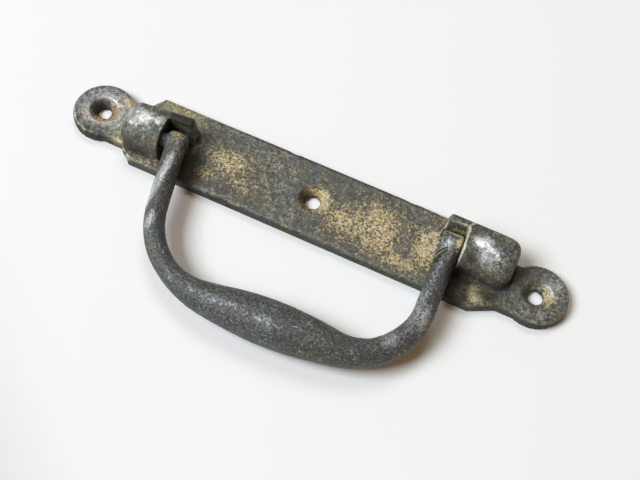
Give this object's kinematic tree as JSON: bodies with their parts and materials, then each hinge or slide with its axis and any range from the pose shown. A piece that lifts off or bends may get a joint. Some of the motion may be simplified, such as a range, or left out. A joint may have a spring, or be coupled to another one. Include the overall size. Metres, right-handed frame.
{
  "type": "folding bail handle",
  "caption": "Long cast back plate with round screw lugs and two ears that hold a D-shaped bail; the bail folds flat beside the plate and lifts to a stop.",
  "frame": {"origin": "middle of the whole handle's footprint, bail folded, on the mounting surface that the plate's back lies on", "axes": "+X along the back plate, +Y from the bail's grip towards the plate, +Z out from the mounting surface"},
  "size_m": [0.1666, 0.0646, 0.0143],
  "materials": {
    "plate_brass": "old cast brass, dark grey patina worn to ochre brass in patches, greenish in the corners",
    "bail_brass": "old cast brass, smooth dark grey patina with fine light scratches"
  },
  "bodies": {
    "plate": {"base_plate": "plate_brass"},
    "bail": {"bail": "bail_brass"}
  },
  "joints": [
    {"name": "bail_hinge", "type": "hinge", "parent": "plate", "child": "bail", "pos_m": [-0.00085, 0.01777, 0.0095], "axis": [-0.9984, -0.0558, 0], "range_deg": [0, 108]}
  ]
}
